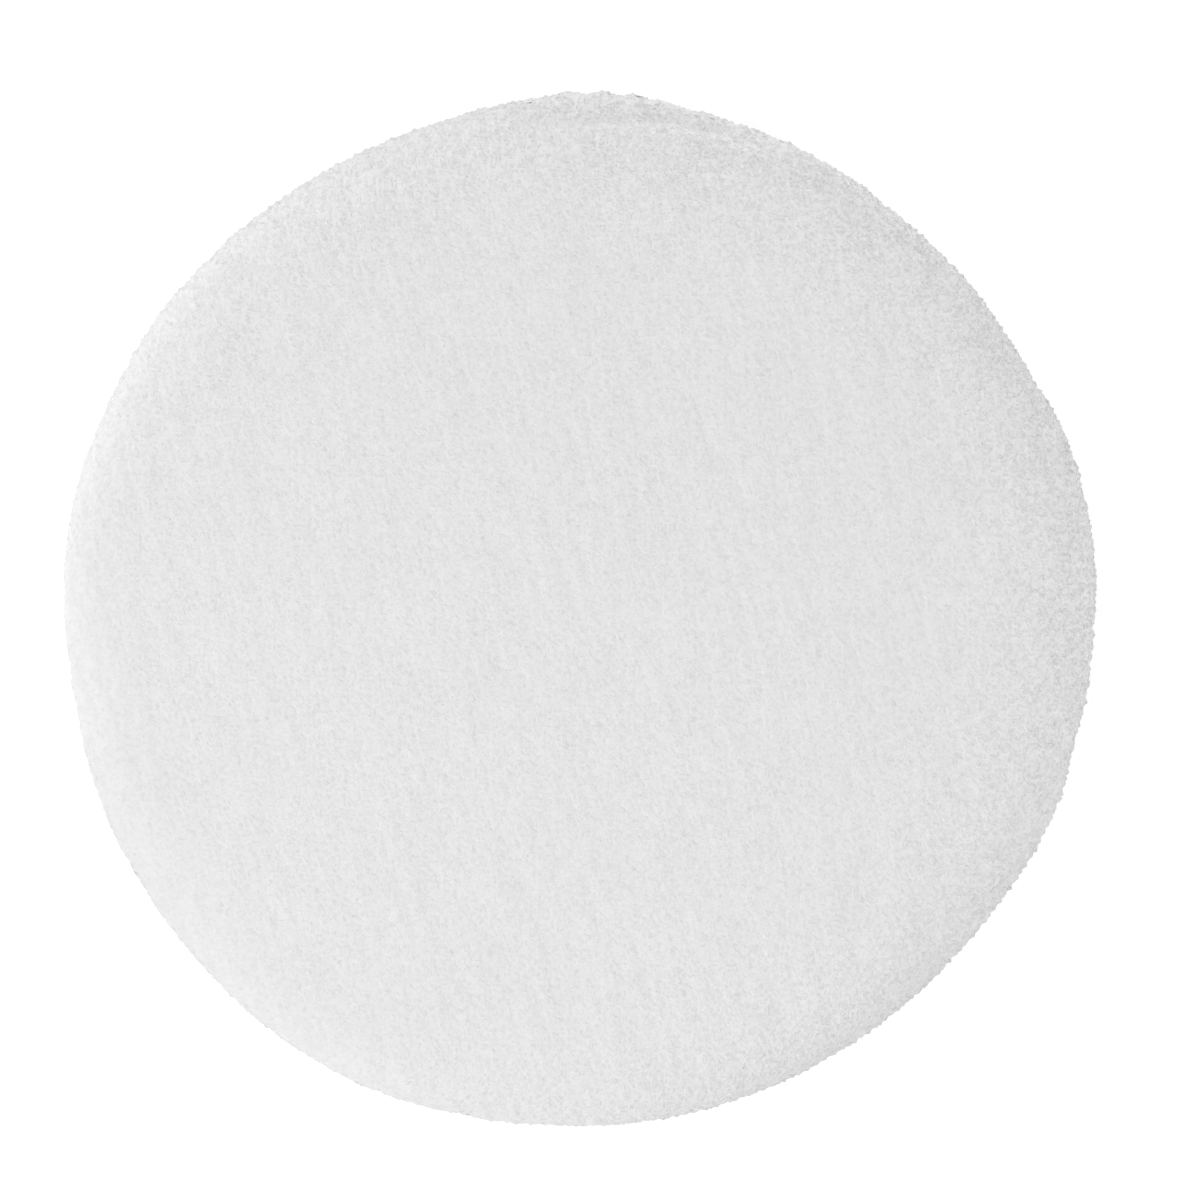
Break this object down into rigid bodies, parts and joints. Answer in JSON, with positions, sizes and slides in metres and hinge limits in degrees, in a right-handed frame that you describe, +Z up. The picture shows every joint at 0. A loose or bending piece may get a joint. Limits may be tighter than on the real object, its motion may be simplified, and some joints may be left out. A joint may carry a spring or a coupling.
{
  "type": "upholstered ottoman",
  "caption": "Round upholstered ottoman in pale nubby cloth: a crowned, filled top pad with a soft round edge on a filled side drum that stands on its turned-under cloth.",
  "frame": {"origin": "on the surface that the ottoman stands on, under the middle of the drum", "axes": "+Z up through the middle of the drum; seen from above, +X is to the right of the picture and +Y to its top"},
  "size_m": [0.5022, 0.5052, 0.4],
  "materials": {
    "nub_cloth": "off-white looped nubby upholstery cloth, matt, with nubs about 4 mm apart",
    "base_cloth": "plain dark base cloth, matt"
  },
  "bodies": {
    "root": {"top_pad": "nub_cloth", "side_band": "nub_cloth", "base_panel": "base_cloth"}
  },
  "joints": []
}
